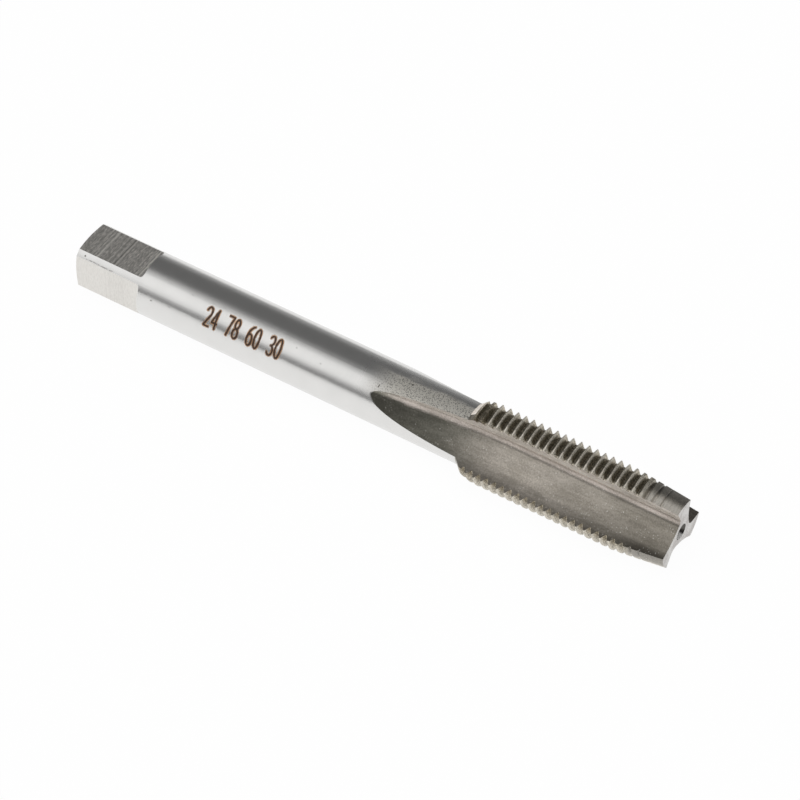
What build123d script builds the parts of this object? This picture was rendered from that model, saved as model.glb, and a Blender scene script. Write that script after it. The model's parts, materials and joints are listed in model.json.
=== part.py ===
from build123d import *
from math import acos, atan2, ceil, cos, degrees, floor, radians, sin, tan
import os

os.makedirs("parts", exist_ok=True)

# A straight-fluted hand tap, M10 x 1.0, right-hand, with three flutes and a square drive end.
# X runs along its axis, from the middle of the square end's face to the cutting end, and +Z is up.
# It lies as it rests on a flat surface: one land and one flat on top, the shank and two lands below.
# Angles about the axis are counted from +Y towards +Z.

# Driving dimensions, in millimetres and degrees
overall_length = 78.0

shank_diameter = 7.65

square_sides = 4
square_across_flats = 6.0
square_length = 9.1
square_shoulder_radius = 0.4
square_end_flat_diameter = 4.0
square_end_cone_depth = 0.37

major_diameter = 10.0
pitch = 1.0
thread_length = 24.0
thread_angle = 60.0
thread_depth = 0.65
crest_width = 0.12
first_groove = 0.85

shoulder_step_length = 0.9
shoulder_step_diameter = 9.3
shoulder_ease_length = 1.4

lead_length = 5.6
lead_end_diameter = 8.65
lead_relief = 0.2

land_count = 3
land_width = 40.0
rake = 8.0
core_diameter = 3.4
flute_corner_radius = 1.05
flute_heel_radius = 8.0
flute_full_depth_from = 58.5
flute_wheel_radius = 75.0
flute_wheel_tilt = 48.4

centre_mouth_diameter = 2.0
centre_mouth_angle = 60.0
centre_pilot_diameter = 0.9
centre_pilot_depth = 1.4
centre_tip_angle = 118.0

# How far each cutting body reaches past the steel that it cuts
overcut = 1.0
overcut_angle = 8.0

# Worked-out sizes
shank_radius = shank_diameter / 2
major_radius = major_diameter / 2
core_radius = core_diameter / 2
lead_end_radius = lead_end_diameter / 2
lead_start = overall_length - lead_length
thread_start = overall_length - thread_length
shoulder_step_end = thread_start - shoulder_ease_length
shoulder_start = shoulder_step_end - shoulder_step_length
land_step = 360 / land_count
side_step = 360 / square_sides
top = 90.0


def across(x, angle):
    """The plane square to the axis at x, with its own x axis turned to the angle."""
    turned = (0, cos(radians(angle)), sin(radians(angle)))
    return Plane(origin=(x, 0, 0), x_dir=turned, z_dir=(1, 0, 0))


def polar(radius, angle):
    """A point of a cross plane, from its distance and angle."""
    return Vector(radius * cos(radians(angle)), radius * sin(radians(angle)))


def arc_middle(start, end, centre):
    """The point halfway along the shorter arc from start to end."""
    return centre + (start + end - centre * 2).normalized() * (start - centre).length


# The ground blank: one turned profile for the flat cone round the square's end, the shank, the
# shoulder, the thread body and the lead
with BuildPart() as blank:
    with BuildSketch(Plane.XZ) as blank_section:
        with BuildLine():
            Polyline(
                (0, 0),
                (0, square_end_flat_diameter / 2),
                (square_end_cone_depth, shank_radius),
                (shoulder_start, shank_radius),
                (shoulder_step_end, shoulder_step_diameter / 2),
                (thread_start, major_radius),
                (lead_start, major_radius),
                (overall_length, lead_end_radius),
                (overall_length, 0),
                close=True,
            )
        make_face()
    revolve(axis=Axis.X)

# One side of the drive square: the steel above a flat, up to a shoulder with a rounded corner
with BuildPart() as flat_cutter:
    with BuildSketch(Plane.XZ) as flat_side:
        flat_height = square_across_flats / 2
        with BuildLine():
            floor_line = Line((-overcut, flat_height), (square_length - square_shoulder_radius, flat_height))
            corner = JernArc(floor_line @ 1, floor_line % 1, square_shoulder_radius, 90)
            Polyline(
                corner @ 1,
                (square_length, shank_radius + overcut),
                (-overcut, shank_radius + overcut),
                floor_line @ 0,
            )
        make_face()
    extrude(amount=shank_radius, both=True)

# One flute. Its section has a straight hooked cutting face, a round corner above the core and a
# slightly hollow wall up to the heel. The section is drawn with the cutting edge on its own x axis.
flute_angle = land_step - land_width
cutting_edge = polar(major_radius, 0)
heel = polar(major_radius, flute_angle)
face_direction = polar(1, rake)
face_normal = polar(1, rake + 90)

corner_distance = core_radius + flute_corner_radius
edge_offset = cutting_edge.dot(face_normal) + flute_corner_radius
corner_angle = rake + 90 - degrees(acos(edge_offset / corner_distance))
corner_centre = polar(corner_distance, corner_angle)
face_foot = corner_centre - face_normal * flute_corner_radius

# The heel arc passes through the heel and meets the corner arc tangentially, from outside it
to_heel = heel - corner_centre
centre_gap = flute_heel_radius - flute_corner_radius
heel_cosine = (centre_gap**2 + to_heel.length**2 - flute_heel_radius**2) / (2 * centre_gap * to_heel.length)
heel_direction = degrees(atan2(to_heel.Y, to_heel.X)) - degrees(acos(heel_cosine))
heel_foot = corner_centre - polar(flute_corner_radius, heel_direction)
heel_centre = corner_centre + polar(centre_gap, heel_direction)
heel_middle = arc_middle(heel_foot, heel, heel_centre)
corner_middle = arc_middle(face_foot, heel_foot, corner_centre)

flute_plane = across(flute_full_depth_from, top + land_width / 2)
wheel_direction = polar(1, flute_wheel_tilt)
wheel_depth = corner_centre.dot(wheel_direction) - flute_corner_radius
wheel_centre = wheel_direction * (wheel_depth + flute_wheel_radius)
wheel_across = polar(1, flute_wheel_tilt - 90)
wheel_axis = Axis(
    flute_plane.from_local_coords(wheel_centre),
    flute_plane.from_local_coords(wheel_centre + wheel_across) - flute_plane.from_local_coords(wheel_centre),
)
wheel_lift = major_radius + overcut - wheel_depth
wheel_sweep = degrees(acos(1 - wheel_lift / flute_wheel_radius))

with BuildPart() as flute_cutter:
    with BuildSketch(flute_plane) as flute_section:
        with BuildLine():
            face = Line(cutting_edge + face_direction * 2 * overcut, face_foot)
            ThreePointArc(face_foot, corner_middle, heel_foot)
            ThreePointArc(heel_foot, heel_middle, heel)
            Polyline(
                heel,
                polar(major_radius + 2 * overcut, flute_angle),
                polar(major_radius + 3 * overcut, flute_angle / 2),
                face @ 0,
            )
        make_face()
    extrude(amount=overall_length + overcut - flute_full_depth_from)
    revolve(flute_section.sketch, axis=wheel_axis, revolution_arc=wheel_sweep)

# One thread groove over one land: a short piece of the right-hand helix, centred on the land
groove_turn = land_width + 2 * overcut_angle
groove_width = pitch - crest_width
root_width = groove_width - 2 * thread_depth * tan(radians(thread_angle / 2))

with BuildPart() as groove_cutter:
    with BuildLine() as groove_path:
        Helix(pitch, pitch * groove_turn / 360, major_radius, direction=(1, 0, 0))
    groove_start = groove_path.line @ 0
    groove_plane = Plane(origin=groove_start, x_dir=(1, 0, 0), z_dir=Vector(1, 0, 0).cross(groove_start))
    with BuildSketch(groove_plane) as groove_section:
        with BuildLine():
            Polyline(
                (-root_width / 2, -thread_depth),
                (root_width / 2, -thread_depth),
                (groove_width / 2, 0),
                (groove_width / 2, overcut / 2),
                (-groove_width / 2, overcut / 2),
                (-groove_width / 2, 0),
                close=True,
            )
        make_face()
    sweep(path=groove_path.line, is_frenet=True)

# The relief behind one cutting edge of the lead: what lies outside a cone on a shifted axis
relief_shift = lead_relief / sin(radians(land_width))
relief_plane = across(0, top - land_width / 2 + 90)
relief_centre = relief_plane.from_local_coords((relief_shift, 0))
relief_slope = (major_radius - lead_end_radius) / lead_length
relief_start = lead_start - lead_relief / relief_slope - overcut
relief_end = overall_length + overcut


def relief_radius(x):
    """The radius of the relieved cone at x."""
    return major_radius - lead_relief - (x - lead_start) * relief_slope


with BuildPart() as relief_cutter:
    with BuildSketch(across(relief_start, top)) as relief_sector:
        with BuildLine():
            sector_half = land_width / 2 + overcut_angle
            Polyline(
                (0, 0),
                polar(major_radius + 2 * overcut, -sector_half),
                polar(major_radius + 3 * overcut, 0),
                polar(major_radius + 2 * overcut, sector_half),
                close=True,
            )
        make_face()
    extrude(amount=relief_end - relief_start)
    with BuildSketch(Plane(origin=relief_centre, x_dir=(1, 0, 0), z_dir=(0, -1, 0))) as relief_cone:
        with BuildLine():
            Polyline(
                (relief_start - overcut, 0),
                (relief_start - overcut, relief_radius(relief_start - overcut)),
                (relief_end + overcut, relief_radius(relief_end + overcut)),
                (relief_end + overcut, 0),
                close=True,
            )
        make_face()
    revolve(axis=Axis(relief_centre, (1, 0, 0)), mode=Mode.SUBTRACT)

# One centre hole: a countersunk mouth, a pilot and the drill's point, opening towards -X at x = 0
mouth_depth = (centre_mouth_diameter - centre_pilot_diameter) / 2 / tan(radians(centre_mouth_angle / 2))
pilot_end = mouth_depth + centre_pilot_depth
tip_depth = centre_pilot_diameter / 2 / tan(radians(centre_tip_angle / 2))

with BuildPart() as centre_cutter:
    with BuildSketch(Plane.XZ) as centre_section:
        with BuildLine():
            Polyline(
                (0, 0),
                (0, centre_mouth_diameter / 2),
                (mouth_depth, centre_pilot_diameter / 2),
                (pilot_end, centre_pilot_diameter / 2),
                (pilot_end + tip_depth, 0),
                close=True,
            )
        make_face()
    revolve(axis=Axis.X)

# The tap
with BuildPart() as tap:
    add(blank)
    for side in range(square_sides):
        add(flat_cutter.part.rotate(Axis.X, side * side_step), mode=Mode.SUBTRACT)
    for land in range(land_count):
        add(flute_cutter.part.rotate(Axis.X, land * land_step), mode=Mode.SUBTRACT)

    # A groove centred on x at the top is land / land_count of a pitch farther on at the next land
    helix_start = -groove_turn / 2
    for land in range(land_count):
        land_groove = groove_cutter.part.rotate(Axis.X, land * land_step + helix_start)
        advance = (land * land_step + helix_start) / 360 * pitch
        on_land = thread_start + first_groove + advance
        first_turn = floor((shoulder_start - on_land) / pitch)
        last_turn = ceil((overall_length - on_land) / pitch)
        turns = [Location((on_land + turn * pitch, 0, 0)) for turn in range(first_turn, last_turn + 1)]
        add([land_groove.moved(turn) for turn in turns], mode=Mode.SUBTRACT)

    for land in range(land_count):
        add(relief_cutter.part.rotate(Axis.X, land * land_step), mode=Mode.SUBTRACT)
    add(centre_cutter, mode=Mode.SUBTRACT)
    add(centre_cutter.part.mirror(Plane.YZ.offset(overall_length / 2)), mode=Mode.SUBTRACT)

tap.part.label = "thread_tap"
export_step(tap.part, "parts/thread_tap.step")
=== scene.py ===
import bmesh
import bpy
import json
import math
from mathutils import Matrix, Vector

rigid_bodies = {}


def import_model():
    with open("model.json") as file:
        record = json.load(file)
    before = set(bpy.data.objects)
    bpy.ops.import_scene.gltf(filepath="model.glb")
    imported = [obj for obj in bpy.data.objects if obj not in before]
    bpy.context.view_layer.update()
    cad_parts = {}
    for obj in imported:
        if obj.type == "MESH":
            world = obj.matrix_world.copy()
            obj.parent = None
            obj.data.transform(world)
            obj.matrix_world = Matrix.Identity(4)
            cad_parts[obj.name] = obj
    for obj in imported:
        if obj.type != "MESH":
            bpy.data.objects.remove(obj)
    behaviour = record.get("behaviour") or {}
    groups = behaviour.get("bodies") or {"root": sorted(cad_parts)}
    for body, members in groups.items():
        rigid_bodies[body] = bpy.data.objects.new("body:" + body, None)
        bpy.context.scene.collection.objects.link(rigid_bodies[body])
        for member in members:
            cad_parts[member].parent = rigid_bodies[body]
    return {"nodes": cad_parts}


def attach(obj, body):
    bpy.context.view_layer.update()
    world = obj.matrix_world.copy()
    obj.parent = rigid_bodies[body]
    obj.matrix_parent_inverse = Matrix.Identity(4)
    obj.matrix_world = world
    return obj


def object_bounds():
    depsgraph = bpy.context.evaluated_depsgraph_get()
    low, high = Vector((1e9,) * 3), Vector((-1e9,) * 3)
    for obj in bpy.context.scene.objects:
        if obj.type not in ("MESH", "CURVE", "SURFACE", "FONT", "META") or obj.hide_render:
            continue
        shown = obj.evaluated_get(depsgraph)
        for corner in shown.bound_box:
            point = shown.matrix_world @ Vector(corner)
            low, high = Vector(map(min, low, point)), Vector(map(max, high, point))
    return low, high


# an empty file to start from, so that only the tap counts in its box
for startObject in list(bpy.data.objects):
    bpy.data.objects.remove(startObject)
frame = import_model()
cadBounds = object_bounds()
scene = bpy.context.scene
millimetre = 0.001
print("frame loaded:", ", ".join(sorted(frame["nodes"])))


class Value:
    # a shader socket that can be used in a Python expression
    def __init__(self, paint, socket):
        self.paint = paint
        self.socket = socket

    def __add__(self, other):
        return self.paint.maths("ADD", self, other)

    def __radd__(self, other):
        return self.paint.maths("ADD", other, self)

    def __sub__(self, other):
        return self.paint.maths("SUBTRACT", self, other)

    def __rsub__(self, other):
        return self.paint.maths("SUBTRACT", other, self)

    def __mul__(self, other):
        return self.paint.maths("MULTIPLY", self, other)

    def __rmul__(self, other):
        return self.paint.maths("MULTIPLY", other, self)

    def __truediv__(self, other):
        return self.paint.maths("DIVIDE", self, other)

    def __abs__(self):
        return self.paint.maths("ABSOLUTE", self)

    def least(self, other):
        return self.paint.maths("MINIMUM", self, other)

    def most(self, other):
        return self.paint.maths("MAXIMUM", self, other)


class Paint:
    # the node tree of one material or of the world
    def __init__(self, owner):
        owner.use_nodes = True
        self.owner = owner
        self.tree = owner.node_tree
        self.tree.nodes.clear()

    def node(self, kind, settings=None, sockets=None, output=0):
        made = self.tree.nodes.new(kind)
        for key, setting in (settings or {}).items():
            setattr(made, key, setting)
        pairs = sockets.items() if isinstance(sockets, dict) else enumerate(sockets or [])
        for key, given in pairs:
            if isinstance(given, Value):
                self.tree.links.new(given.socket, made.inputs[key])
            else:
                made.inputs[key].default_value = given
        return Value(self, made.outputs[output]) if made.outputs else None

    def outputs(self, value, *names):
        # other outputs of the node that a value comes from
        return [Value(self, value.socket.node.outputs[name]) for name in names]

    def objectPlace(self):
        return self.node("ShaderNodeTexCoord", {}, output=3)

    def inMillimetres(self, place):
        return self.node("ShaderNodeVectorMath", {"operation": "SCALE"}, {0: place, 3: 1 / millimetre})

    def maths(self, operation, *operands):
        return self.node("ShaderNodeMath", {"operation": operation}, operands)

    def direction(self, across, up):
        # the angle of a point of a plane, in degrees from -180 to 180
        return self.maths("ARCTAN2", up, across) * math.degrees(1)

    def parts(self, vector):
        return self.outputs(self.node("ShaderNodeSeparateXYZ", {}, [vector]), *"XYZ")

    def vector(self, x, y, z):
        return self.node("ShaderNodeCombineXYZ", {}, [x, y, z])

    def between(self, value, low, high):
        # 0 up to low, 1 from high on, and smooth between them
        sockets = [value, low, high, 0.0, 1.0]
        return self.node("ShaderNodeMapRange", {"interpolation_type": "SMOOTHSTEP"}, sockets)

    def shifted(self, value, noise, reach):
        # a value moved up and down by a noise, whose middle is 0.5
        return value + (noise - 0.5) * reach

    def blended(self, factor, first, second):
        return self.node("ShaderNodeMix", {"data_type": "FLOAT"}, {0: factor, 2: first, 3: second})

    def mixed(self, factor, first, second, blend="MIX"):
        settings = {"data_type": "RGBA", "blend_type": blend}
        return self.node("ShaderNodeMix", settings, {0: factor, 6: rgba(first), 7: rgba(second)}, output=2)

    def shaded(self, colour, mask, shades):
        # a colour multiplied by the first shade where the mask is 0 and by the second where it is 1
        return self.mixed(1.0, colour, self.mixed(mask, *shades), "MULTIPLY")

    def noise(self, place, scale, detail=2.0, roughness=0.5):
        sockets = {"Vector": place, "Scale": scale, "Detail": detail, "Roughness": roughness}
        return self.node("ShaderNodeTexNoise", {}, sockets)

    def stretchedNoise(self, place, stretch, *settings):
        longer = self.node("ShaderNodeVectorMath", {"operation": "MULTIPLY"}, [place, stretch])
        return self.noise(longer, *settings)

    def lines(self, along, scale, detail, roughness):
        # noise that changes along one direction only
        sockets = {"W": along, "Scale": scale, "Detail": detail, "Roughness": roughness}
        return self.node("ShaderNodeTexNoise", {"noise_dimensions": "1D"}, sockets)

    def specks(self, place, scale, share, size):
        # small round specks with a soft rim, in a share of the cells of a random pattern; the cells
        # that only just have one have it faintly
        core = size * 0.4
        faint = 1 - share
        full = 1 - share * 0.8
        distance = self.node("ShaderNodeTexVoronoi", {}, {"Vector": place, "Scale": scale})
        chance = self.parts(*self.outputs(distance, "Color"))[0]
        return (1 - self.between(distance, core, size)) * self.between(chance, faint, full)


def rgba(colour):
    return (*colour, 1) if isinstance(colour, tuple) else colour


def around(middle, reach):
    return middle - reach, middle + reach


# Camera: where it stands and what it looks at, in the tap's frame and millimetres, and how far it
# leans to one side, in degrees
cameraValues = {
    "place": (179.6, -238.7, 299.6),
    "target": (41.94, 0.395, -0.575),
    "lean": 2.23,
    "lens": 163.75,
    "nearest": 10,
    "farthest": 20000,
}


def makeCamera(values):
    camera = bpy.data.objects.new("camera", bpy.data.cameras.new("camera"))
    place = Vector(values["place"]) * millimetre
    target = Vector(values["target"]) * millimetre
    turn = (target - place).to_track_quat("-Z", "Y").to_matrix().to_4x4()
    lean = Matrix.Rotation(math.radians(values["lean"]), 4, "Z")
    camera.matrix_world = Matrix.Translation(place) @ turn @ lean
    camera.data.lens = values["lens"]
    camera.data.clip_start = values["nearest"] * millimetre
    camera.data.clip_end = values["farthest"] * millimetre
    scene.collection.objects.link(camera)
    scene.camera = camera
    print("camera placed")


# Floor, in metres: a pale disc that looks nearly white to the camera and in the steel
floorValues = {
    "radius": 3.5,
    "sides": 96,
    "colour": (0.93, 0.93, 0.93),
    "glowColour": (1.0, 1.0, 1.0),
    "glow": 0.97,
}


def makeFloor(values):
    mesh = bpy.data.meshes.new("floor")
    shape = bmesh.new()
    bmesh.ops.create_circle(shape, cap_ends=True, segments=values["sides"], radius=values["radius"])
    bmesh.ops.translate(shape, verts=shape.verts, vec=(0, 0, cadBounds[0].z))
    shape.to_mesh(mesh)
    shape.free()
    floor = bpy.data.objects.new("floor", mesh)
    scene.collection.objects.link(floor)
    paint = Paint(bpy.data.materials.new("paleFloor"))
    matt = paint.node("ShaderNodeBsdfDiffuse", {}, [rgba(values["colour"])])
    glow = paint.node("ShaderNodeEmission", {}, [rgba(values["glowColour"]), 1.0])
    rays = paint.node("ShaderNodeLightPath")
    camera, glossy, through = paint.outputs(rays, "Is Camera Ray", "Is Glossy Ray", "Is Transmission Ray")
    seen = camera.most(glossy).most(through)
    surface = paint.node("ShaderNodeMixShader", {}, [seen * values["glow"], matt, glow])
    paint.node("ShaderNodeOutputMaterial", {}, [surface])
    mesh.materials.append(paint.owner)
    print("floor made")


# Room: dim, with one large soft light over the near side, and an even pale grey to the camera. A
# pair says where a change starts and where it is complete: "rise" and "fall" in degrees about the
# tap's axis, from +Y through the top, and the others as the x, y or z of a direction of length 1.
roomValues = {
    "horizonLight": 0.85,
    "lowWallLight": 0.36,
    "roomLight": 0.18,
    "nearLight": 0.16,
    "farSide": (-0.3, 0.3),
    "lowWallTo": (0.1, 0.5),
    "horizonTo": (0.0, 0.11),
    "softLight": {
        "level": 1.2,
        "rise": (79, 117),
        "fall": (141, 175),
        "fromX": (-0.95, -0.75),
        "toX": (-0.3, 0.0),
    },
}


def makeRoom(values):
    sky = Paint(bpy.data.worlds.new("studio"))
    scene.world = sky.owner
    x, y, z = sky.parts(sky.node("ShaderNodeTexCoord"))
    direction = sky.direction(y, z)
    farSide = sky.between(y, *values["farSide"])
    horizon = sky.blended(farSide, values["nearLight"], values["horizonLight"])
    lowWall = sky.blended(farSide, values["nearLight"], values["lowWallLight"])
    wall = sky.blended(sky.between(z, *values["lowWallTo"]), lowWall, values["roomLight"])
    room = sky.blended(sky.between(z, *values["horizonTo"]), horizon, wall)
    soft = values["softLight"]
    patch = sky.between(direction, *soft["rise"]) * (1 - sky.between(direction, *soft["fall"]))
    patch = patch * sky.between(x, *soft["fromX"]) * (1 - sky.between(x, *soft["toX"]))
    cameraRay = sky.node("ShaderNodeLightPath")
    level = sky.blended(cameraRay, room + patch * soft["level"], 1.0)
    background = sky.node("ShaderNodeBackground", {}, {"Strength": level})
    sky.node("ShaderNodeOutputWorld", {}, [background])
    print("room made")


# The room in the steel is dim, so this lamp, which the steel doesn't mirror, brings matt surfaces
# to a plain level. Metres and watts.
lampValues = {"height": 1.2, "size": 1.5, "power": 12.0}


def makeLamp(values):
    light = bpy.data.lights.new("mattLamp", "AREA")
    light.size = values["size"]
    light.energy = values["power"]
    lamp = bpy.data.objects.new("mattLamp", light)
    lamp.location.z = values["height"]
    lamp.visible_glossy = False
    scene.collection.objects.link(lamp)
    print("lamp made")


# Ground steel: bright on the shank and the square, browner in the flutes and the thread. Painted shade
# darkens the thread grooves, the centre hole, the flutes' ends and the heels near them, and painted light
# brightens the cutting edges and the hole's upward wall.
# Lengths are millimetres along x or from the axis, and angles are degrees about it, from +Y through
# the top. A pair of numbers says where a mask or a change starts and where it is complete. A pair of
# colours, or of shades that multiply a colour, is for a mask's 0 and its 1. A reach says how far a
# noise moves an edge, and a depth or a share how strong something is.
wholeTurn = 360
steelValues = {
    "darkColour": (0.10, 0.09, 0.075),
    "sizes": {
        "squareLength": 9.1,
        "shankRadius": 3.825,
        "majorRadius": 5.0,
        "rootRadius": 4.35,
        "threadFrom": 51.7,
        "shoulderTo": 54.0,
        "leadFrom": 72.4,
        "leadSlope": 0.1205,
        "leadRelief": 0.2,
        "landStep": 120,
        "landTo": 110,
        "fluteSideFrom": 100,
    },
    # scale, detail and roughness; a stretched noise has the stretch of its three coordinates first
    "noises": {
        "grain": (9.0, 2.0),
        "speckle": (5.5, 1.0),
        "fine": (7.5, 0.0),
        "blotches": (0.55, 3.0),
        "wobble": (2.2, 2.0),
        "patches": ((0.35, 1.0, 1.0), 0.9, 3.0),
        "clouds": ((0.35, 1.0, 1.0), 0.7, 4.0, 0.6),
        "flatNoise": ((5.0, 1.6, 1.6), 1.3, 3.0, 0.6),
        "fluteLines": ((0.05, 0.05, 1.4), 1.5, 3.0, 0.55),
        "threadLines": ((4.5, 0.03, 4.0), 1.6, 2.0),
        "rings": ((6.0, 0.03, 1.0), 1.0, 3.0, 0.6),
        "flatLines": (3.2, 5.0, 0.75),
        "flatLean": 0.015,
        # scale, share of the cells and size
        "largeSpecks": (2.4, 0.6, 0.24),
        "smallSpecks": (4.0, 0.3, 0.3),
    },
    "masks": {
        # how straight a face looks along x, or up or sideways
        "endFace": (0.85, 0.95),
        "flat": (0.9, 0.97),
        "holeFloor": (0.66, 0.82),
        "squareEdge": 0.05,  # half the width of a soft edge
        "threadEdge": 0.1,
        "hole": (1.0, 1.06),
        "holeMouth": (0.5, 0.62),
        "pittedFrom": (38.0, 43.0),
        "pittedTop": (80, 92),
        "pittedFoot": (132, 150),
        "reach": {"corner": 3, "pitted": 30, "crest": 0.16},
        "flute": {
            "from": (37.0, 37.5),
            "edge": 0.02,
            "belowShank": 0.02,
            "belowRoot": 0.03,
            "belowLead": 0.08,
            "wall": (0.25, 0.4),
        },
        "corner": {"side": (40, 58), "from": (40.5, 45.0), "angle": (20, 60)},
        "cuttingFace": (80, 96),
        "crest": (-0.26, -0.1),
        "crestGrain": (0.25, 0.6),
        "leadCrest": 0.8,
        # degrees before a land's cutting edge, and how many more for the rim at the thread's crests
        "rim": (5.5, 3.0),
        "nearEdge": (25, 8),
        "rimBend": 5,
        # along x, from where the lead starts and from where the shoulder ends
        "lead": (0.2, 2.2),
        "pastShoulder": (-0.5, 0.2),
    },
    "shank": {
        "colour": (0.79, 0.782, 0.768),
        "blotchColour": (0.72, 0.715, 0.70),
        "roughness": 0.27,
        "pittedColour": (0.86, 0.835, 0.77),
        "pittedRoughness": 0.64,
        "pits": (0.5, 0.7),
        "pitDepth": 0.55,
    },
    "square": {
        "topColours": ((0.56, 0.54, 0.505), (0.80, 0.775, 0.74)),
        "topShades": ((0.82, 0.82, 0.82), (1.2, 1.2, 1.2)),
        "topGrain": (0.3, 0.7),
        "topRoughness": 0.55,
        "streaks": (0.4, 0.62),
        "streakReach": 0.3,
        "streakRoughness": 0.7,
        "sideColours": ((0.765, 0.745, 0.71), (0.70, 0.68, 0.645)),
        "sideGrain": (0.35, 0.7),
        "sideRoughness": 0.32,
        "sideStreakColour": (0.60, 0.58, 0.55),
        "sideStreakFrom": (3.8, 4.6),
        "sideStreakTo": (7.0, 7.8),
        "sideStreakDepth": 0.3,
        "scratchColour": (0.98, 0.96, 0.92),
        "scratchRoughness": 0.85,
        "scratchReach": 0.12,
        "scratchFade": (0.5, 1.4),
        "scratchLeast": 0.4,
        # across the top flat: where, half as wide, and how much lighter
        "scratches": [
            (1.9, 0.05, 0.5),
            (2.8, 0.11, 1.0),
            (5.05, 0.05, -0.6),
            (5.25, 0.07, 0.8),
            (8.2, 0.06, 0.7),
            (8.5, 0.08, 0.9),
        ],
    },
    "thread": {
        "grooveShadeColours": ((0.29, 0.255, 0.185), (0.51, 0.46, 0.37)),
        "grooves": (0.28, 0.74),
        "grooveReach": 0.9,
        "grit": (0.3, 0.7),
        "gritReach": 0.6,
        "gritShades": ((0.62, 0.62, 0.60), (1.3, 1.29, 1.27)),
        "roughness": 0.42,
        "leadShade": (0.25, 0.24, 0.225),
        "leadShadeDepth": 0.8,
        "leadColour": (0.80, 0.76, 0.70),
        "leadLeast": 0.3,
        "crestColour": (0.84, 0.79, 0.69),
        "crestRoughness": 0.56,
        "rimSpeckle": (0.3, 0.6),
    },
    "flute": {
        "runOutColour": (0.22, 0.215, 0.185),
        "colour": (0.47, 0.435, 0.39),
        "endShadeColour": (0.28, 0.26, 0.225),
        "runOutTo": (47.5, 57.0),
        "runOutReach": 6,
        "endShadeFrom": (58.0, 76.0),
        "endShadeDepth": 0.9,
        "roughness": 0.33,
        "cornerHighlightColour": (0.61, 0.555, 0.515),
        "cornerRoughness": 0.44,
        "cuttingFaceHighlightColour": (0.97, 0.905, 0.835),
        "lines": (0.35, 0.65),
        "lineShades": ((0.93, 0.925, 0.92), (1.05, 1.045, 1.035)),
        "clouds": (0.3, 0.7),
        "cloudReach": 0.5,
        "cloudShades": ((0.80, 0.79, 0.765), (1.15, 1.14, 1.13)),
        "grit": (0.3, 0.7),
        "gritReach": 0.6,
        "gritShades": ((0.95, 0.95, 0.95), (1.04, 1.04, 1.04)),
        "heelShadeFrom": (71.5, 75.5),
        "heelShadeRadius": (3.2, 4.1),
        "heelShadeSide": (30, 44),
        "heelShadeDepth": 0.85,
        "speckColour": (0.85, 0.83, 0.78),
        "speckPatches": (0.42, 0.6),
        "speckDepth": 0.6,
    },
    "ends": {
        "colours": ((0.50, 0.475, 0.455), (0.70, 0.69, 0.67)),
        "clouds": (0.3, 0.7),
        "cloudReach": 0.7,
        "farSide": (2.0, 4.2),
        "farDepth": 0.5,
        "roughness": 0.48,
        "holeShadeAndLightColours": ((0.11, 0.105, 0.095), (0.95, 0.94, 0.91)),
    },
    "darkMarks": {
        # along the square's near corner
        "scuff": {
            "angle": 140.0,
            "reach": 6,
            "halfWidth": 1.4,
            "core": 0.4,
            "from": 0.9,
            "to": 5.6,
            "fade": 0.6,
            "speckle": (0.3, 0.6),
            "depth": 0.55,
        },
        # single flecks: where along x, at which angle, how far round, how far along
        "flecks": [
            (40.6, 123, 0.22, 0.07),
            (43.9, 96, 0.12, 0.08),
            (1.4, 135.5, 0.11, 0.11),
            (33.2, 131, 0.06, 0.06),
            (29.8, 124, 0.05, 0.07),
            (15.6, 118, 0.06, 0.06),
            (13.4, 155, 0.05, 0.12),
            (11.0, 158, 0.05, 0.16),
        ],
        "fleckEdge": (0.5, 1.3),
        "fleckDepth": 0.9,
    },
    # how much of a part's light is scattered instead of mirrored
    "dull": {
        "crest": 0.3,
        "rim": 0.5,
        "lead": 0.3,
        "pitted": 0.12,
        "flat": 0.08,
        "speck": 0.4,
        "cuttingFace": 0.7,
        "holeLight": 0.6,
    },
    # how high the finish stands, in millimetres
    "heights": {
        "grain": 0.0012,
        "speckle": 0.0015,
        "pits": 0.014,
        "rings": 0.006,
        "ringBlotches": (0.4, 0.6),
        "flatLines": 0.003,
        "fluteLines": 0.004,
        "specks": 0.006,
        "threadLines": 0.006,
        "threadSpeckle": 0.008,
    },
}


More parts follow.
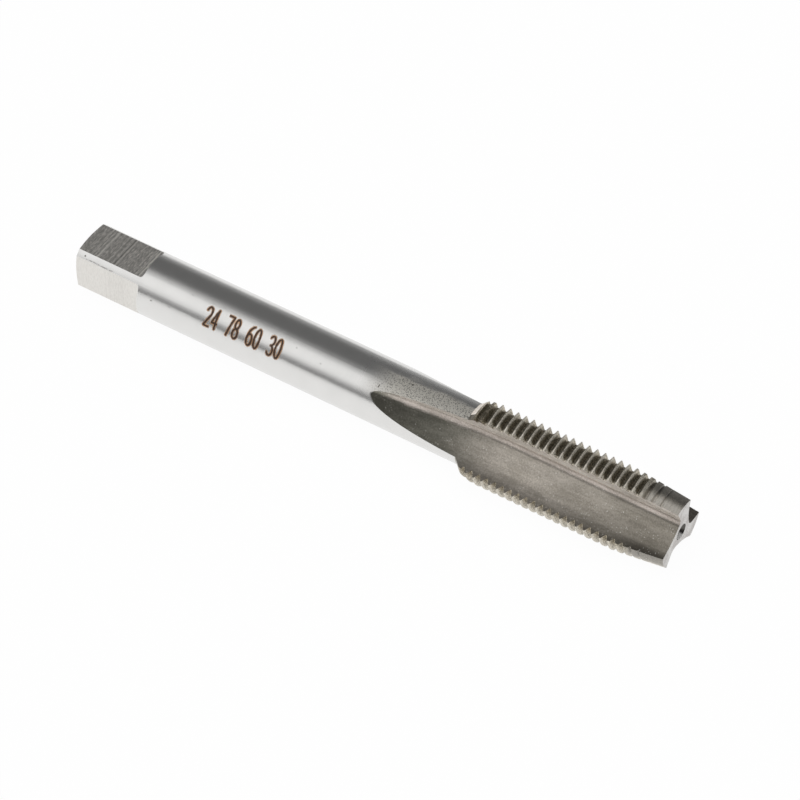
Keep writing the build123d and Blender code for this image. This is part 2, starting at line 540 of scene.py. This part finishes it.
class Tap:
    # where a point of the steel lies, the noises there and how much each part of the tap covers it
    def __init__(self, paint, values):
        self.paint = paint
        self.sizes = values["sizes"]
        self.darkColour = values["darkColour"]
        self.findPlace()
        self.makeNoises(values["noises"])
        self.maskSquareAndEnds(values["masks"])
        self.maskFlutes(values["masks"])
        self.maskThread(values["masks"])

    def findPlace(self):
        paint = self.paint
        where = paint.objectPlace()
        self.place = paint.inMillimetres(where)
        self.x, self.y, self.z = paint.parts(self.place)
        self.normalX, self.normalY, self.normalZ = paint.parts(*paint.outputs(where, "Normal"))
        self.radius = paint.maths("SQRT", self.y * self.y + self.z * self.z)
        self.angle = paint.direction(self.y, self.z)
        self.roundPlace = paint.vector(self.x, self.angle, self.radius)
        step = self.sizes["landStep"]
        # which way a flute's side faces: 0 by the heel and about 100 on the cutting face
        facing = paint.direction(self.normalY, self.normalZ) - self.sizes["fluteSideFrom"]
        self.fluteSide = paint.maths("MODULO", facing + wholeTurn, step)
        # how far round from the last cutting edge: first a flute, then the next land
        self.landAngle = paint.maths("MODULO", self.angle - self.sizes["landTo"] + wholeTurn, step)

    def makeNoises(self, values):
        paint = self.paint
        self.grain = paint.noise(self.place, *values["grain"])
        self.speckle = paint.noise(self.place, *values["speckle"])
        self.fine = paint.noise(self.place, *values["fine"])
        self.blotches = paint.noise(self.place, *values["blotches"])
        self.wobble = paint.noise(self.place, *values["wobble"])
        self.patches = paint.stretchedNoise(self.place, *values["patches"])
        self.clouds = paint.stretchedNoise(self.place, *values["clouds"])
        self.flatNoise = paint.stretchedNoise(self.place, *values["flatNoise"])
        self.fluteLines = paint.stretchedNoise(self.roundPlace, *values["fluteLines"])
        self.threadLines = paint.stretchedNoise(self.roundPlace, *values["threadLines"])
        self.rings = paint.stretchedNoise(self.roundPlace, *values["rings"])
        lean = values["flatLean"]
        self.flatLines = paint.lines(self.x + self.y * lean + self.z * lean, *values["flatLines"])
        largeSpecks = paint.specks(self.place, *values["largeSpecks"])
        self.specks = largeSpecks.most(paint.specks(self.place, *values["smallSpecks"]))

    def maskSquareAndEnds(self, masks):
        between = self.paint.between
        self.endFace = between(abs(self.normalX), *masks["endFace"])
        # the centre hole, painted dark as shade, with painted light on the part of its wall that faces up
        self.inHole = (1 - between(self.radius, *masks["hole"])) * (1 - self.endFace)
        self.holeLight = self.inHole * between(self.radius, *masks["holeMouth"])
        self.holeLight = self.holeLight * between(self.normalZ, *masks["holeFloor"])
        onSquare = 1 - between(self.x, *around(self.sizes["squareLength"], masks["squareEdge"]))
        self.flat = onSquare * between(abs(self.normalY).most(abs(self.normalZ)), *masks["flat"])
        self.topFlat = onSquare * between(abs(self.normalZ), *masks["flat"])

    def maskFlutes(self, masks):
        # a flute is what lies below the shank or the thread's roots, and its steep walls above them
        paint = self.paint
        between = paint.between
        sizes = self.sizes
        flute = masks["flute"]
        corner = masks["corner"]
        reach = masks["reach"]
        self.threaded = between(self.x, *around(sizes["threadFrom"], masks["threadEdge"]))
        lead = (self.x - sizes["leadFrom"]).most(0)
        self.outside = sizes["majorRadius"] - lead * sizes["leadSlope"]
        leadFloor = self.outside - sizes["leadRelief"] - flute["belowLead"]
        threadFloor = leadFloor.least(sizes["rootRadius"] - flute["belowRoot"])
        floor = paint.blended(self.threaded, sizes["shankRadius"] - flute["belowShank"], threadFloor)
        sideways = abs(self.normalZ * self.y - self.normalY * self.z) / self.radius
        below = 1 - between(self.radius, floor - flute["edge"], floor)
        self.inFlute = below.most(between(sideways, *flute["wall"]))
        self.inFlute = self.inFlute * between(self.x, *flute["from"]) * (1 - self.endFace)
        pastRunOut = between(paint.shifted(self.x, self.patches, reach["corner"]), *corner["from"])
        # the corner and the cutting face of the lands near the top, which carry a painted highlight
        self.corner = self.inFlute * between(self.fluteSide, *corner["side"]) * pastRunOut
        self.corner = self.corner * between(self.angle, *corner["angle"])
        self.cuttingFace = self.corner * between(self.fluteSide, *masks["cuttingFace"])
        pittedTop = between(paint.shifted(self.angle, self.patches, reach["pitted"]), *masks["pittedTop"])
        self.pitted = between(self.x, *masks["pittedFrom"]) * (1 - self.threaded) * pittedTop
        self.pitted = self.pitted * (1 - between(self.angle, *masks["pittedFoot"])) * (1 - self.inFlute)

    def maskThread(self, masks):
        paint = self.paint
        between = paint.between
        sizes = self.sizes
        step = sizes["landStep"]
        self.onThread = self.threaded * (1 - self.inFlute) * (1 - self.endFace)
        onLead = between(self.x, *(sizes["leadFrom"] + past for past in masks["lead"]))
        self.onLead = self.onThread * onLead
        pastShoulder = between(self.x, *(sizes["shoulderTo"] + past for past in masks["pastShoulder"]))
        height = paint.shifted(self.radius - self.outside, self.wobble, masks["reach"]["crest"])
        crest = self.onThread * between(height, *masks["crest"]) * between(self.grain, *masks["crestGrain"])
        self.crest = crest * (1 - self.onLead * masks["leadCrest"]) * pastShoulder
        rootShare = (self.radius - sizes["rootRadius"]) / (self.outside - sizes["rootRadius"])
        rootShare = rootShare.least(1)
        rimAngle = self.landAngle + rootShare * rootShare * masks["rimBend"]
        rim = self.onThread * between(rimAngle, *(step - before for before in masks["rim"]))
        self.rim = rim * (1 - self.onLead) * pastShoulder
        nearEdge = between(self.landAngle, *(step - before for before in masks["nearEdge"]))
        self.leadEdge = self.onLead * nearEdge
        self.leadBack = self.onLead * (1 - nearEdge)


def shankFinish(tap, values):
    paint = tap.paint
    colour = paint.mixed(tap.blotches, values["colour"], values["blotchColour"])
    colour = paint.mixed(tap.pitted, colour, values["pittedColour"])
    pits = tap.pitted * paint.between(tap.fine, *values["pits"])
    colour = paint.mixed(pits * values["pitDepth"], colour, tap.darkColour)
    return colour, paint.blended(tap.pitted, values["roughness"], values["pittedRoughness"])


def squareFinish(tap, values):
    # ground across, coarsely on the top and bottom flats and finely on the sides
    paint = tap.paint
    between = paint.between
    streaks = between(paint.shifted(tap.flatLines, tap.flatNoise, values["streakReach"]), *values["streaks"])
    top = paint.mixed(streaks, *values["topColours"])
    top = paint.shaded(top, between(tap.flatNoise, *values["topGrain"]), values["topShades"])
    side = paint.mixed(between(tap.flatNoise, *values["sideGrain"]), *values["sideColours"])
    sideStreaks = streaks * between(tap.x, *values["sideStreakFrom"])
    sideStreaks = sideStreaks * (1 - between(tap.x, *values["sideStreakTo"]))
    side = paint.mixed(sideStreaks * values["sideStreakDepth"], side, values["sideStreakColour"])
    colour = paint.mixed(tap.topFlat, side, top)
    roughness = paint.blended(tap.topFlat, values["sideRoughness"], values["topRoughness"])
    roughness = paint.blended(streaks * tap.topFlat, roughness, values["streakRoughness"])
    along = paint.shifted(tap.x, tap.patches, values["scratchReach"])
    for scratchAt, halfWidth, lift in values["scratches"]:
        fade = [halfWidth * share for share in values["scratchFade"]]
        scratch = tap.topFlat * (1 - between(abs(along - scratchAt), *fade))
        scratch = scratch * (values["scratchLeast"] + tap.blotches)
        if lift > 0:
            lifted = (scratch * lift).least(1)
            roughness = paint.blended(lifted, roughness, values["scratchRoughness"])
            colour = paint.mixed(lifted, colour, values["scratchColour"])
        else:
            colour = paint.mixed(scratch * -lift, colour, tap.darkColour)
    return colour, roughness


def threadFinish(tap, values):
    # dark gritty grooves in painted shade, pale crests and groove ends, and a lead that is pale by its
    # cutting edge, partly from wear and partly painted light, with painted shade behind that edge
    paint = tap.paint
    between = paint.between
    # painted shade: the thread's dark colours, which vary at random, stand in for the shade in its grooves
    grooves = between(paint.shifted(tap.threadLines, tap.speckle, values["grooveReach"]), *values["grooves"])
    colour = paint.mixed(grooves, *values["grooveShadeColours"])
    grit = between(paint.shifted(tap.speckle, tap.grain, values["gritReach"]), *values["grit"])
    colour = paint.shaded(colour, grit, values["gritShades"])
    # painted shade on the lead lands behind the cutting edge, and by the edge a pale colour that is partly
    # wear and partly painted light
    colour = paint.mixed(tap.leadBack * values["leadShadeDepth"], colour, values["leadShade"])
    colour = paint.mixed(tap.leadEdge * (values["leadLeast"] + tap.threadLines), colour, values["leadColour"])
    pale = tap.crest.most(tap.rim * between(tap.speckle, *values["rimSpeckle"]))
    colour = paint.mixed(pale, colour, values["crestColour"])
    worn = tap.crest.most(tap.rim).most(tap.leadEdge)
    return colour, paint.blended(worn, values["roughness"], values["crestRoughness"])


def fluteFinish(tap, values):
    # brown, darkest in the run-out, with painted shade towards the end and by the heel there, and a painted
    # highlight on the corner and the cutting face
    paint = tap.paint
    between = paint.between
    pastRunOut = between(paint.shifted(tap.x, tap.patches, values["runOutReach"]), *values["runOutTo"])
    colour = paint.mixed(pastRunOut, values["runOutColour"], values["colour"])
    # painted shade: the flute darker towards the end, where less light reaches it
    colour = paint.mixed(between(tap.x, *values["endShadeFrom"]) * values["endShadeDepth"], colour, values["endShadeColour"])
    # painted highlight: a pale strip along the cutting edge, on the corner and the cutting face
    colour = paint.mixed(tap.corner, colour, values["cornerHighlightColour"])
    colour = paint.mixed(tap.cuttingFace, colour, values["cuttingFaceHighlightColour"])
    colour = paint.shaded(colour, between(tap.fluteLines, *values["lines"]), values["lineShades"])
    clouds = between(paint.shifted(tap.clouds, tap.speckle, values["cloudReach"]), *values["clouds"])
    colour = paint.shaded(colour, clouds, values["cloudShades"])
    grit = between(paint.shifted(tap.grain, tap.speckle, values["gritReach"]), *values["grit"])
    colour = paint.shaded(colour, grit, values["gritShades"])
    # painted shade: a dark band on the flute wall by the heel, near the end
    heel = between(tap.x, *values["heelShadeFrom"]) * between(tap.radius, *values["heelShadeRadius"])
    heel = heel * (1 - between(tap.fluteSide, *values["heelShadeSide"]))
    colour = paint.mixed(heel * values["heelShadeDepth"], colour, tap.darkColour)
    specks = tap.specks * between(tap.patches, *values["speckPatches"])
    colour = paint.mixed(specks * values["speckDepth"], colour, values["speckColour"])
    return colour, paint.blended(tap.corner, values["roughness"], values["cornerRoughness"])


def endFinish(tap, values):
    paint = tap.paint
    clouds = paint.between(paint.shifted(tap.clouds, tap.speckle, values["cloudReach"]), *values["clouds"])
    farSide = paint.between(tap.y, *values["farSide"]) * values["farDepth"]
    return paint.mixed(clouds * (1 - farSide), *values["colours"]), values["roughness"]


def addDarkMarks(tap, values, colour):
    # a scuff along one corner of the square, and single flecks
    paint = tap.paint
    between = paint.between
    scuff = values["scuff"]
    fade = scuff["fade"]
    offLine = abs(paint.shifted(tap.angle, tap.patches, scuff["reach"]) - scuff["angle"])
    mark = 1 - between(offLine, scuff["halfWidth"] * scuff["core"], scuff["halfWidth"])
    mark = mark * between(tap.x, scuff["from"], scuff["from"] + fade)
    mark = mark * (1 - between(tap.x, scuff["to"] - fade, scuff["to"]))
    mark = mark * between(tap.speckle, *scuff["speckle"])
    colour = paint.mixed(mark * scuff["depth"], colour, tap.darkColour)
    for fleckAt, fleckAngle, length, width in values["flecks"]:
        along = abs(tap.x - fleckAt) / width
        across = abs(tap.angle - fleckAngle) * math.radians(1) * tap.sizes["shankRadius"] / length
        inside = 1 - between(along * along + across * across, *values["fleckEdge"])
        colour = paint.mixed(inside * values["fleckDepth"], colour, tap.darkColour)
    return colour


def dullShare(tap, values):
    dull = tap.crest * values["crest"]
    dull = dull.most(tap.rim * values["rim"])
    dull = dull.most(tap.leadEdge * values["lead"])
    dull = dull.most(tap.pitted * values["pitted"])
    dull = dull.most(tap.topFlat * values["flat"])
    dull = dull.most(tap.inFlute * tap.specks * values["speck"])
    dull = dull.most(tap.cuttingFace * values["cuttingFace"])
    return dull.most(tap.holeLight * values["holeLight"])


def finishHeight(tap, values):
    rings = tap.rings * tap.paint.between(tap.blotches, *values["ringBlotches"])
    height = tap.grain * values["grain"] + tap.speckle * values["speckle"] + rings * values["rings"]
    height = height + tap.fine * tap.pitted * values["pits"] + tap.flat * tap.flatLines * values["flatLines"]
    inFlute = tap.fluteLines * values["fluteLines"] + tap.specks * values["specks"]
    onThread = tap.threadLines * values["threadLines"] + tap.speckle * values["threadSpeckle"]
    return height + tap.inFlute * inFlute + tap.onThread * onThread


def paintSteel(values):
    paint = Paint(bpy.data.materials.new("groundSteel"))
    tap = Tap(paint, values)
    colour, roughness = shankFinish(tap, values["shank"])
    finishes = [
        (tap.flat, squareFinish(tap, values["square"])),
        (tap.onThread, threadFinish(tap, values["thread"])),
        (tap.inFlute, fluteFinish(tap, values["flute"])),
        (tap.endFace, endFinish(tap, values["ends"])),
    ]
    for mask, (partColour, partRoughness) in finishes:
        colour = paint.mixed(mask, colour, partColour)
        roughness = paint.blended(mask, roughness, partRoughness)
    # painted shade inside the centre hole, and painted light where its wall faces up
    holeColour = paint.mixed(tap.holeLight, *values["ends"]["holeShadeAndLightColours"])
    colour = paint.mixed(tap.inHole, colour, holeColour)
    colour = addDarkMarks(tap, values["darkMarks"], colour)
    height = finishHeight(tap, values["heights"])
    bump = paint.node("ShaderNodeBump", {}, {"Strength": 1.0, "Distance": millimetre, "Height": height})
    metallic = 1 - dullShare(tap, values["dull"])
    sockets = {"Base Color": colour, "Metallic": metallic, "Roughness": roughness, "Normal": bump}
    surface = paint.node("ShaderNodeBsdfPrincipled", {}, sockets)
    paint.node("ShaderNodeOutputMaterial", {}, [surface])
    body = frame["nodes"]["thread_tap"]
    body.data.materials.clear()
    body.data.materials.append(paint.owner)
    print("steel painted")


# Size marks etched into the shank, read from the square end: plain numbers, nearly black along each
# stroke and amber beside it. Digits are drawn in a box of 1 x 1, as lines and parts of ellipses.
# Lengths are millimetres and angles degrees about the axis.
markValues = {
    "text": "24 78 60 30",
    "from": 17.95,
    "to": 28.25,
    "topAngle": 121.5,  # where the digits' tops are
    "baseAngle": 157.5,
    "digitWidth": 0.66,
    "radius": 3.831,
    "cell": 0.035,
    "halfStroke": 0.075,
    "fringe": 0.26,
    "coreColour": (0.045, 0.026, 0.016),
    "edgeColour": (0.24, 0.105, 0.04),
    "tintColour": (0.72, 0.47, 0.29),
    "tintMetallic": 0.8,
    "roughness": 0.45,
    # the ragged edge: scale and detail of two noises, and how far each moves it
    "wobble": (3.0, 2.0),
    "wobbleReach": 0.09,
    "grain": (9.0, 1.0),
    "grainReach": 0.06,
    # in half strokes from the middle of a stroke
    "coreTo": (0.8, 1.6),
    "edgeTo": (1.3, 2.2),
    "solidTo": (1.2, 2.0),
    "patches": (1.4, 2.0),
    "patchEdges": (0.35, 0.65),
    "leastTint": 0.35,
    "patchTint": 0.6,
    "arcSteps": 16,
    "digits": {
        "0": [("arc", (0.5, 0.5), (0.5, 0.5), (0, 360))],
        "2": [
            ("arc", (0.5, 0.74), (0.48, 0.26), (165, -38)),
            ("line", (0.88, 0.58), (0.0, 0.0)),
            ("line", (0.0, 0.0), (1.0, 0.0)),
        ],
        "3": [
            ("arc", (0.46, 0.76), (0.46, 0.24), (150, -90)),
            ("arc", (0.46, 0.26), (0.54, 0.26), (90, -150)),
        ],
        "4": [
            ("line", (0.74, 0.0), (0.74, 1.0)),
            ("line", (0.74, 1.0), (0.0, 0.3)),
            ("line", (0.0, 0.3), (1.0, 0.3)),
        ],
        "6": [
            ("arc", (0.5, 0.3), (0.5, 0.3), (0, 360)),
            ("arc", (0.95, 0.3), (0.95, 0.7), (180, 95)),
        ],
        "7": [("line", (0.0, 1.0), (1.0, 1.0)), ("line", (1.0, 1.0), (0.35, 0.0))],
        "8": [
            ("arc", (0.5, 0.76), (0.4, 0.24), (0, 360)),
            ("arc", (0.5, 0.26), (0.5, 0.26), (0, 360)),
        ],
    },
}


def markRise(values):
    # how tall the marks are, along the round of the shank
    return math.radians(values["baseAngle"] - values["topAngle"]) * values["radius"]


def strokeLines(strokes, values):
    # the strokes of one digit as pairs of points, in millimetres from the foot of its box
    size = Vector((values["digitWidth"], markRise(values) - values["halfStroke"] * 2))
    pairs = []
    for stroke in strokes:
        points = [Vector(point) for point in stroke[1:3]]
        if stroke[0] == "arc":
            centre, reach = points
            start, end = (math.radians(turn) for turn in stroke[3])
            steps = values["arcSteps"]
            turns = [start + (end - start) * step / steps for step in range(steps + 1)]
            points = [centre + reach * Vector((math.cos(turn), math.sin(turn))) for turn in turns]
        points = [point * size for point in points]
        pairs += list(zip(points, points[1:]))
    return pairs


def strokeDistance(point, pairs, farthest):
    nearest = farthest
    for start, end in pairs:
        along = end - start
        share = max(0.0, min(1.0, (point - start).dot(along) / along.length_squared))
        nearest = min(nearest, (start + along * share - point).length)
    return nearest


def placeVertex(vertex, layer, digits, values):
    # wraps a vertex of the unit grid round the shank and notes how far the nearest stroke is; a
    # space has no strokes
    text = values["text"]
    margin = values["fringe"]
    length = values["to"] - values["from"]
    slot = length / len(text)
    along = (vertex.co.x + 0.5) * (length + 2 * margin) - margin
    up = (vertex.co.y + 0.5) * (markRise(values) + 2 * margin) - margin
    index = min(len(text) - 1, max(0, int(along / slot)))
    foot = Vector((index * slot + (slot - values["digitWidth"]) / 2, values["halfStroke"]))
    vertex[layer] = strokeDistance(Vector((along, up)) - foot, digits.get(text[index], []), farthest=1.0)
    angle = math.radians(values["baseAngle"]) - up / values["radius"]
    across = Vector((math.cos(angle), math.sin(angle))) * values["radius"]
    vertex.co = Vector((values["from"] + along, across.x, across.y)) * millimetre


def makeMarks(values):
    margin = values["fringe"]
    columns = round((values["to"] - values["from"] + 2 * margin) / values["cell"])
    rows = round((markRise(values) + 2 * margin) / values["cell"])
    shape = bmesh.new()
    bmesh.ops.create_grid(shape, x_segments=columns, y_segments=rows, size=0.5)
    layer = shape.verts.layers.float.new("strokeDistance")
    digits = {digit: strokeLines(strokes, values) for digit, strokes in values["digits"].items()}
    for vertex in shape.verts:
        placeVertex(vertex, layer, digits, values)
    beyond = [face for face in shape.faces if min(corner[layer] for corner in face.verts) > margin]
    bmesh.ops.delete(shape, geom=beyond, context="FACES")
    for face in shape.faces:
        face.smooth = True
    mesh = bpy.data.meshes.new("etchedSizeMarks")
    shape.to_mesh(mesh)
    shape.free()
    marks = bpy.data.objects.new("etchedSizeMarks", mesh)
    scene.collection.objects.link(marks)
    mesh.materials.append(etchedMaterial(values))
    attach(marks, "root")
    print("size marks made:", len(mesh.polygons), "faces")


def etchedMaterial(values):
    paint = Paint(bpy.data.materials.new("etchedMarks"))
    place = paint.inMillimetres(paint.objectPlace())
    distance = paint.node("ShaderNodeAttribute", {"attribute_name": "strokeDistance"}, output=2)
    ragged = paint.shifted(distance, paint.noise(place, *values["wobble"]), values["wobbleReach"])
    ragged = paint.shifted(ragged, paint.noise(place, *values["grain"]), values["grainReach"])
    half = values["halfStroke"]
    pastCore, pastEdge, pastSolid = [
        paint.between(ragged, half * low, half * high)
        for low, high in (values["coreTo"], values["edgeTo"], values["solidTo"])
    ]
    colour = paint.mixed(pastCore, values["coreColour"], values["edgeColour"])
    colour = paint.mixed(pastEdge, colour, values["tintColour"])
    patches = paint.between(paint.noise(place, *values["patches"]), *values["patchEdges"])
    alpha = paint.blended(pastSolid, 1.0, values["leastTint"] + patches * values["patchTint"])
    alpha = alpha * (1 - paint.between(ragged, half * values["solidTo"][1], values["fringe"]))
    metallic = pastCore * values["tintMetallic"]
    sockets = {"Base Color": colour, "Metallic": metallic, "Roughness": values["roughness"], "Alpha": alpha}
    surface = paint.node("ShaderNodeBsdfPrincipled", {}, sockets)
    paint.node("ShaderNodeOutputMaterial", {}, [surface])
    return paint.owner


makeCamera(cameraValues)
makeFloor(floorValues)
makeRoom(roomValues)
makeLamp(lampValues)
paintSteel(steelValues)
makeMarks(markValues)

scene.view_settings.view_transform = "Standard"
